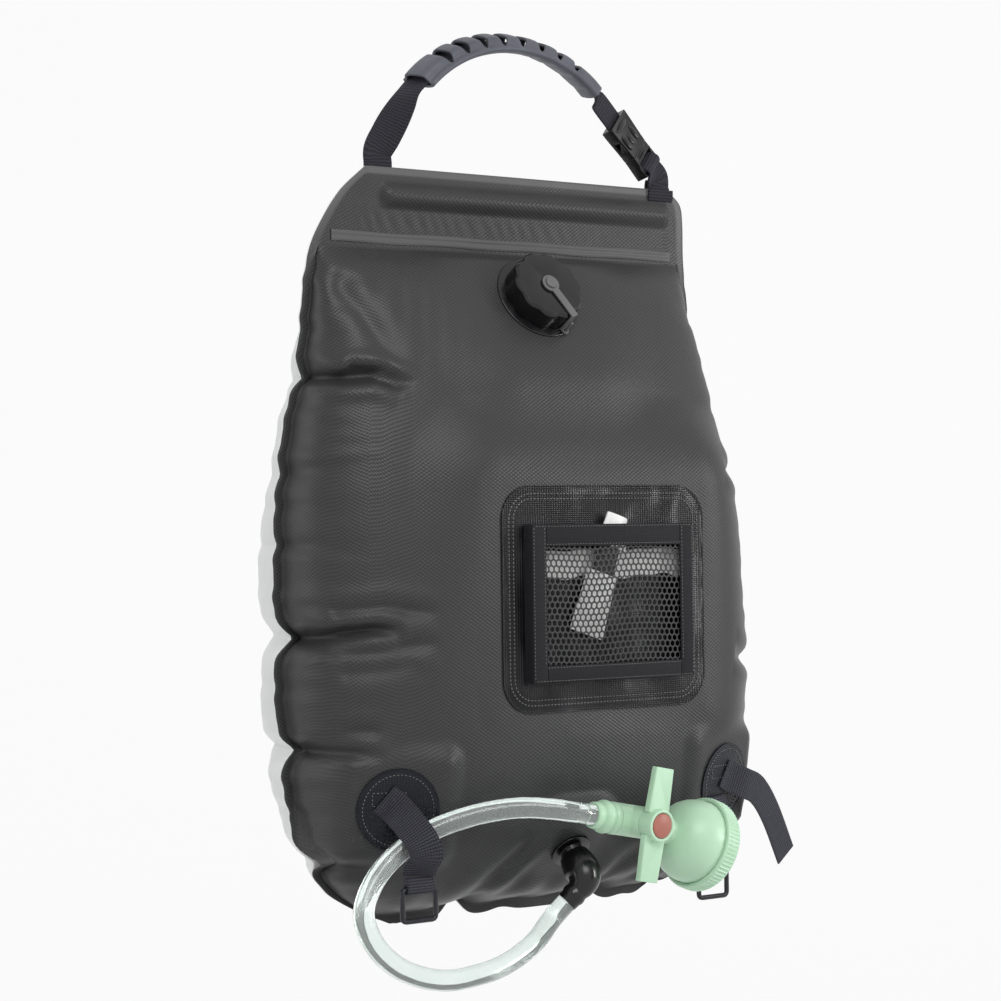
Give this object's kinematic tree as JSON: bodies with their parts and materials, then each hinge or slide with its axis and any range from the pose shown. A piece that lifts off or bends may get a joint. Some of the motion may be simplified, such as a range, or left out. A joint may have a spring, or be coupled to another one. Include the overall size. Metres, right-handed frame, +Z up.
{
  "type": "camp shower bag",
  "caption": "Hanging water bag for a camp shower: dark front, pale back, gripped carry handle with a buckle, capped filler, net pocket, hose and green shower head with a tap.",
  "frame": {"origin": "where a hook or branch carries the handle: under the middle of the grip's arch", "axes": "+Z up, the dark front with the hose faces -Y, +X is to the right of someone facing the front"},
  "size_m": [0.4608, 0.2625, 0.7456],
  "materials": {
    "grip_shell": "slate grey soft grip",
    "handle_strap": "woven tape",
    "buckle_plug": "gloss black",
    "buckle_prong_left": "gloss black",
    "buckle_prong_right": "gloss black",
    "buckle_loop": "woven tape",
    "buckle_socket": "gloss black",
    "front_panel": "dark grey coated fabric with a woven grain, satin",
    "back_panel": "milky white soft vinyl sheet, satin gloss",
    "header_rod": "plain rod",
    "weld_strip": "welded band, satin",
    "left_strap_foot": "woven tape",
    "right_strap_foot": "woven tape",
    "filler_neck": "gloss black",
    "tether_post": "gloss black",
    "pocket_patch": "black coated fabric patch, gloss",
    "pocket_side_left": "woven tape",
    "pocket_side_right": "woven tape",
    "pocket_bottom_tape": "woven tape",
    "pocket_hem": "woven tape",
    "pocket_net": "open net",
    "pocket_band": "white band",
    "left_anchor_patch": "black coated fabric patch, gloss",
    "left_hose_strap": "woven tape",
    "right_anchor_patch": "black coated fabric patch, gloss",
    "right_hose_strap": "woven tape",
    "right_ring_strap": "woven tape",
    "left_ring_loop": "woven tape",
    "right_ring_loop": "woven tape",
    "outlet_flange": "gloss black",
    "outlet_seal": "seal",
    "outlet_nut": "gloss black",
    "outlet_elbow": "gloss black",
    "hose": "clear soft hose",
    "hose_ferrule": "mint green, satin gloss",
    "valve_body": "mint green, satin gloss",
    "head_dome": "mint green, satin gloss",
    "cap_tether": "grey soft plastic",
    "filler_cap": "gloss black",
    "cap_seal": "seal",
    "tether_rivet": "grey soft plastic",
    "stowed_tube": "white plastic",
    "stowed_tube_neck": "gloss black",
    "stowed_tube_cap": "white plastic",
    "left_ring": "black moulded ring",
    "right_ring": "black moulded ring",
    "valve_plug": "white plastic",
    "valve_handle": "mint green, satin gloss",
    "valve_button": "salmon red button",
    "spray_plate": "mint green, satin gloss",
    "rose_seal": "seal",
    "rose_ring": "mint green, satin gloss"
  },
  "bodies": {
    "handle": {"grip_shell": "grip_shell", "handle_strap": "handle_strap", "buckle_plug": "buckle_plug", "buckle_prong_left": "buckle_prong_left", "buckle_prong_right": "buckle_prong_right", "buckle_loop": "buckle_loop"},
    "buckle_socket": {"buckle_socket": "buckle_socket"},
    "bag": {"front_panel": "front_panel", "back_panel": "back_panel", "header_rod": "header_rod", "weld_strip": "weld_strip", "left_strap_foot": "left_strap_foot", "right_strap_foot": "right_strap_foot", "filler_neck": "filler_neck", "tether_post": "tether_post", "pocket_patch": "pocket_patch", "pocket_side_left": "pocket_side_left", "pocket_side_right": "pocket_side_right", "pocket_bottom_tape": "pocket_bottom_tape", "pocket_hem": "pocket_hem", "pocket_net": "pocket_net", "pocket_band": "pocket_band", "left_anchor_patch": "left_anchor_patch", "left_hose_strap": "left_hose_strap", "right_anchor_patch": "right_anchor_patch", "right_hose_strap": "right_hose_strap", "right_ring_strap": "right_ring_strap", "left_ring_loop": "left_ring_loop", "right_ring_loop": "right_ring_loop", "outlet_flange": "outlet_flange", "outlet_seal": "outlet_seal", "outlet_nut": "outlet_nut", "outlet_elbow": "outlet_elbow", "hose": "hose", "hose_ferrule": "hose_ferrule", "valve_body": "valve_body", "head_dome": "head_dome"},
    "tether": {"cap_tether": "cap_tether"},
    "cap": {"filler_cap": "filler_cap", "cap_seal": "cap_seal", "tether_rivet": "tether_rivet"},
    "stowed_item": {"stowed_tube": "stowed_tube", "stowed_tube_neck": "stowed_tube_neck", "stowed_tube_cap": "stowed_tube_cap"},
    "left_ring": {"left_ring": "left_ring"},
    "right_ring": {"right_ring": "right_ring"},
    "valve_core": {"valve_plug": "valve_plug", "valve_handle": "valve_handle", "valve_button": "valve_button"},
    "spray_insert": {"spray_plate": "spray_plate", "rose_seal": "rose_seal"},
    "rose": {"rose_ring": "rose_ring"}
  },
  "joints": [
    {"name": "bag_swing", "type": "hinge", "parent": "handle", "child": "bag", "pos_m": [0, 0.0026, -0.101], "axis": [1, 0, 0], "range_deg": [-45, 90]},
    {"name": "buckle_release", "type": "slide", "parent": "handle", "child": "buckle_socket", "axis": [-0.6947, 0, 0.7193], "range_m": [0, 0.018], "deforming": ["buckle_prong_left", "buckle_prong_right"]},
    {"name": "cap_lift", "type": "slide", "parent": "bag", "child": "tether", "axis": [0, -0.8829, 0.4695], "range_m": [0, 0.00602]},
    {"name": "cap_turn", "type": "hinge", "parent": "tether", "child": "cap", "pos_m": [0, -0.03614, -0.20394], "axis": [0, -0.8829, 0.4695], "range_deg": [0, 540]},
    {"name": "tube_lift", "type": "slide", "parent": "bag", "child": "stowed_item", "axis": [0.3256, 0, 0.9455], "range_m": [0, 0.105]},
    {"name": "left_ring_swing", "type": "hinge", "parent": "bag", "child": "left_ring", "pos_m": [-0.14791, -0.08653, -0.65642], "axis": [1, 0, 0], "range_deg": [-90, 90]},
    {"name": "right_ring_swing", "type": "hinge", "parent": "bag", "child": "right_ring", "pos_m": [0.14409, -0.0687, -0.6689], "axis": [1, 0, 0], "range_deg": [-90, 45]},
    {"name": "valve_turn", "type": "hinge", "parent": "bag", "child": "valve_core", "pos_m": [0.026, -0.119, -0.6165], "axis": [0.0979, -0.995, -0.0201], "range_deg": [0, 90]},
    {"name": "rose_lift", "type": "slide", "parent": "bag", "child": "spray_insert", "axis": [0.925, 0.0985, -0.367], "range_m": [0, 0.00452]},
    {"name": "rose_turn", "type": "hinge", "parent": "spray_insert", "child": "rose", "pos_m": [0.04549, -0.117, -0.6205], "axis": [0.925, 0.0985, -0.367], "range_deg": [0, 540]}
  ],
  "couplings": [
    {"joint": "cap_lift", "follows": "cap_turn", "m_per_rad": 0.00063662},
    {"joint": "rose_lift", "follows": "rose_turn", "m_per_rad": 0.00047746}
  ]
}
